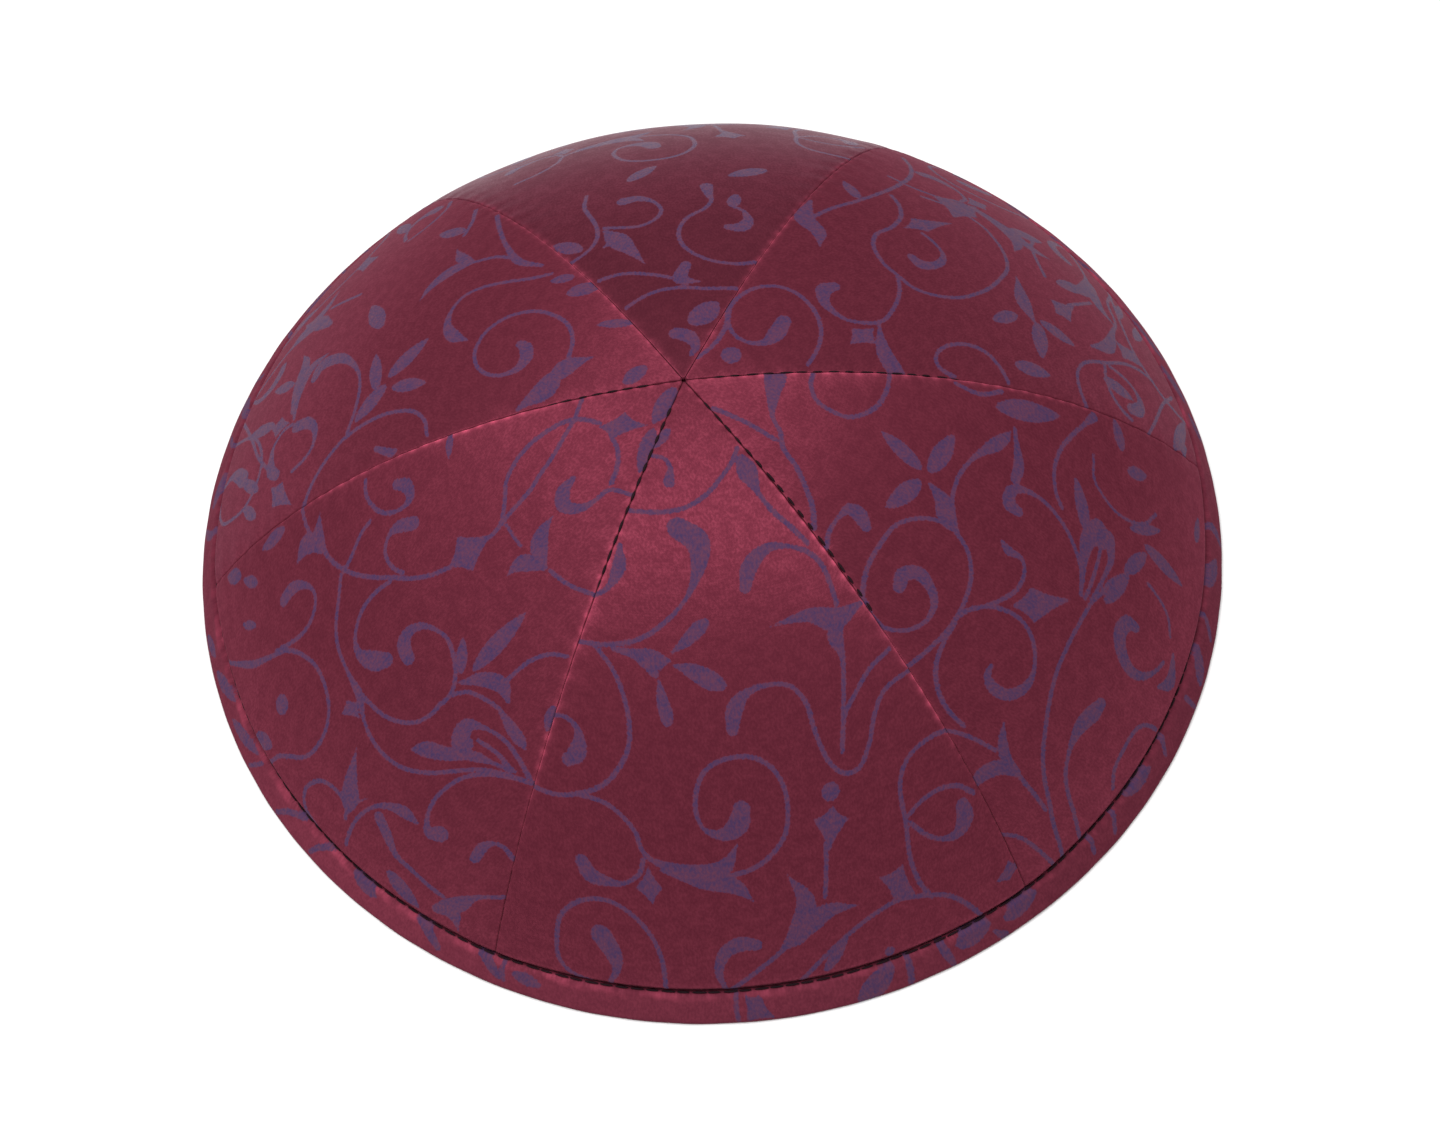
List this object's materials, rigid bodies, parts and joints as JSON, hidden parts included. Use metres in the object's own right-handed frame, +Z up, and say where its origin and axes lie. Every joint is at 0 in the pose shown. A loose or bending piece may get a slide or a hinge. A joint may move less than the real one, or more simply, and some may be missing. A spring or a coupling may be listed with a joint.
{
  "type": "kippah",
  "caption": "Shallow domed skullcap of wedge-shaped cloth gores sewn edge to edge, with a folded strip bound round its rim, in burgundy brocade with a tone-on-tone scroll.",
  "frame": {"origin": "middle of the rim, on the plane that the cap rests on", "axes": "+Z up through the crown, -Y towards the front gore's middle, +X to the cap's right as seen from the front"},
  "size_m": [0.1664, 0.1698, 0.0487],
  "materials": {
    "brocade": "burgundy satin brocade with a matte purple scroll woven in",
    "binding": "the same brocade cut as a strip and folded, edge-stitched tone on tone"
  },
  "bodies": {
    "root": {"gore_front": "brocade", "gore_right_front": "brocade", "gore_right_back": "brocade", "gore_back": "brocade", "gore_left_back": "brocade", "gore_left_front": "brocade", "rim_binding": "binding"}
  },
  "joints": []
}
